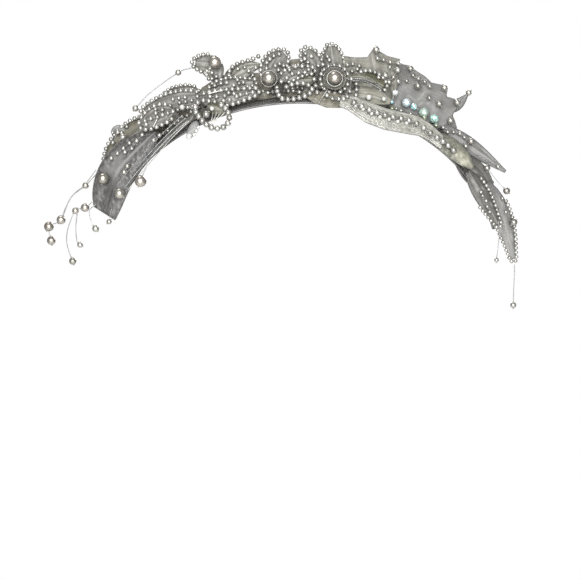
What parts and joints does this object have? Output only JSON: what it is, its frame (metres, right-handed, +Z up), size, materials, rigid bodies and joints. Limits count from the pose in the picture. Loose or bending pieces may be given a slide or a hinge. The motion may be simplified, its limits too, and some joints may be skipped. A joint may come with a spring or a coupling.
{
  "type": "pearl tiara",
  "caption": "Arched net headband carrying sheer leaves edged with seed pearls, pearl flowers in clear cups, a row of iridescent crystals and pearl sprays on clear filament.",
  "frame": {"origin": "the seat at the crown: underside of the net band, at the middle of its width and of the front view", "axes": "+Z up, +X to the wearer's left seen from the front, +Y from the face to the back of the head"},
  "size_m": [0.2668, 0.0527, 0.148],
  "materials": {
    "net": "sheer net",
    "wire": "light covered wire",
    "organza": "sheer crisp organza",
    "cream_organza": "satin organza",
    "grey_organza": "sheer grey organza",
    "lace": "matt lace",
    "seed_pearl": "pearl lustre",
    "pearl": "pearl lustre",
    "filament": "clear filament",
    "sequin_cup": "clear iridescent",
    "crystal": "faceted iridescent"
  },
  "bodies": {
    "root": {"band_net": "net", "cream_leaf": "cream_organza", "crystal_row": "crystal", "cup_1": "sequin_cup", "cup_2": "sequin_cup", "edge_wire": "wire", "horn_sheet": "organza", "lace_leaf": "lace", "lace_tab": "lace", "leaf_drop_inner": "organza", "leaf_drop_outer": "grey_organza", "leaf_left_drop": "organza", "leaf_left_loop": "organza", "leaf_left_scallop": "organza", "leaf_left_top": "organza", "leaf_mid_left": "organza", "leaf_mid_left_upper": "organza", "leaf_right_loop": "organza", "leaf_right_point": "grey_organza", "leaf_tongue": "organza", "leaf_upturned": "organza", "pearl_1": "pearl", "pearl_2": "pearl", "pearl_upturned": "pearl", "pearls_left": "pearl", "pearls_point": "pearl", "pearls_star_edge": "pearl", "pearls_star_inner": "pearl", "petal_1_right": "organza", "petal_1_top": "organza", "petal_2_left": "organza", "petal_2_top": "organza", "spray_brow_left": "pearl", "spray_left_hanging": "pearl", "spray_left_inner": "pearl", "spray_left_outer": "pearl", "spray_left_twig": "pearl", "spray_right_end": "pearl", "spray_upper_left": "pearl", "star_back": "grey_organza", "star_sheet": "grey_organza", "string_drop_inner": "seed_pearl", "string_drop_outer": "seed_pearl", "string_flower_2": "seed_pearl", "string_lace_row": "seed_pearl", "string_left_loop": "seed_pearl", "string_left_top": "seed_pearl", "string_low_loop": "seed_pearl", "string_mid_left": "seed_pearl", "string_mid_upper": "seed_pearl", "string_open_loop": "seed_pearl", "string_petal_1_right": "seed_pearl", "string_petal_1_top": "seed_pearl", "string_petal_2_left": "seed_pearl", "string_petal_2_top": "seed_pearl", "string_right_loop": "seed_pearl", "string_scallop": "seed_pearl", "string_spike": "seed_pearl", "string_tongue": "seed_pearl", "string_upturned": "seed_pearl"}
  },
  "joints": []
}
